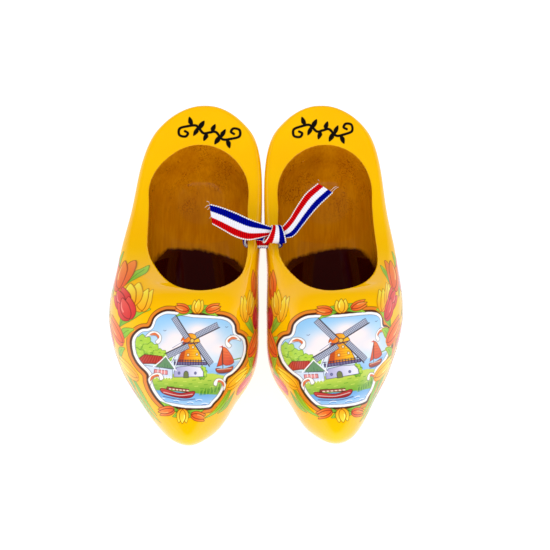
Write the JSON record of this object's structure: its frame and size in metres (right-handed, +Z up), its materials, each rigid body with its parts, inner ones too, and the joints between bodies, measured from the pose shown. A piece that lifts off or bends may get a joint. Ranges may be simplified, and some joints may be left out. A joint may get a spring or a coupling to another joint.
{
  "type": "wooden clogs",
  "caption": "Pair of carved wooden clogs with painted outsides and raw wood insides, tied side by side at their inner rims by a knotted striped ribbon that lets them fold open.",
  "frame": {"origin": "midway between the two clogs, on the surface that they stand on", "axes": "toes point to -Y and heels to +Y, the wearer's left clog is at +X, up is +Z"},
  "size_m": [0.1294, 0.16, 0.0594],
  "materials": {
    "painted_wood": "glossy lacquered yellow paint with printed flowers and a landscape on the outside; bare wood inside",
    "bare_wood": "raw bored wood with lengthwise grain, inside the hollow",
    "printed_decor": "printed transfer under the same gloss lacquer",
    "woven_ribbon": "ribbed woven ribbon with three stripes, red, white and blue"
  },
  "bodies": {
    "left_clog": {"clog_left": "painted_wood", "ribbon_knot": "woven_ribbon", "ribbon_tail_left": "woven_ribbon", "ribbon_tail_right": "woven_ribbon", "ribbon_loop": "woven_ribbon"},
    "right_clog": {"clog_right": "painted_wood"}
  },
  "joints": [
    {"name": "ribbon_hinge", "type": "hinge", "parent": "left_clog", "child": "right_clog", "pos_m": [0, 0.012, 0.0445], "axis": [0, 1, 0], "range_deg": [0, 60], "deforming": ["ribbon_loop", "ribbon_tail_left"]}
  ]
}
